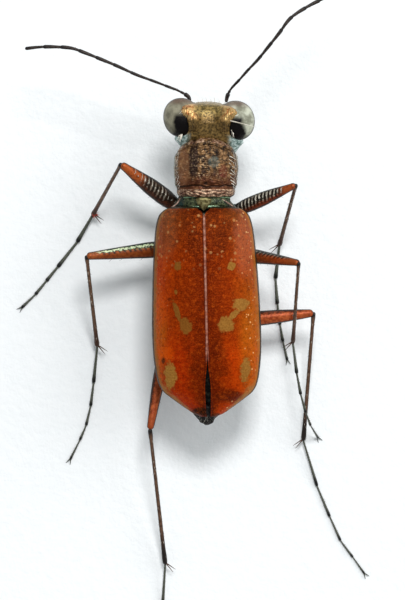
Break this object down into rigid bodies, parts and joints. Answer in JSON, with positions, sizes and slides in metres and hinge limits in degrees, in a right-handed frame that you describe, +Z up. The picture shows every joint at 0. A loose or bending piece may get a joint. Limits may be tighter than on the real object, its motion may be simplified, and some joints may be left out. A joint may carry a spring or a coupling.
{
  "type": "tiger beetle",
  "caption": "Still life-size tiger beetle standing on its feet: big-eyed head with sickle jaws, long feelers, barrel-shaped prothorax, spotted wing cases and long thin legs.",
  "frame": {"origin": "on the floor, under the middle of the whole model's length and width, feelers and hind feet included", "axes": "+Z up, -Y ahead of the beetle's head, +X to the beetle's left"},
  "size_m": [0.0183, 0.0362, 0.0063],
  "materials": {
    "wing_case": "satin red-brown to orange wing case, finely pitted, with yellowish spots and an olive rim",
    "copper_shell": "wrinkled metallic copper-brown shell with green side edges",
    "head_shell": "finely ridged metallic bronze shell",
    "green_shell": "metallic green shell",
    "belly_shell": "metallic dark green-bronze underside",
    "eye": "glossy grey-olive compound eye with dark patches",
    "jaw": "pale horn with dark tips",
    "feeler": "dark brown horn",
    "thigh": "glossy red-brown with a green upper side and white bristles",
    "shin": "reddish brown horn",
    "foot": "black-green horn"
  },
  "bodies": {
    "root": {"abdomen": "belly_shell", "antenna_left_scape": "feeler", "antenna_left_stem": "feeler", "antenna_left_whip": "feeler", "antenna_right_scape": "feeler", "antenna_right_stem": "feeler", "antenna_right_whip": "feeler", "coxa_front_left": "belly_shell", "coxa_front_right": "belly_shell", "coxa_hind_left": "belly_shell", "coxa_hind_right": "belly_shell", "coxa_mid_left": "belly_shell", "coxa_mid_right": "belly_shell", "elytron_left": "wing_case", "elytron_right": "wing_case", "eye_left": "eye", "eye_right": "eye", "femur_front_left": "thigh", "femur_front_right": "thigh", "femur_hind_left": "thigh", "femur_hind_right": "thigh", "femur_mid_left": "thigh", "femur_mid_right": "thigh", "head": "head_shell", "labial_palp_left": "feeler", "labial_palp_right": "feeler", "labrum": "jaw", "mandible_left": "jaw", "mandible_right": "jaw", "maxillary_palp_left": "feeler", "maxillary_palp_right": "feeler", "prothorax": "copper_shell", "scutellum": "green_shell", "tarsus_front_left": "foot", "tarsus_front_right": "foot", "tarsus_hind_left": "foot", "tarsus_hind_right": "foot", "tarsus_mid_left": "foot", "tarsus_mid_right": "foot", "thorax": "belly_shell", "tibia_front_left": "shin", "tibia_front_right": "shin", "tibia_hind_left": "shin", "tibia_hind_right": "shin", "tibia_mid_left": "shin", "tibia_mid_right": "shin"}
  },
  "joints": []
}
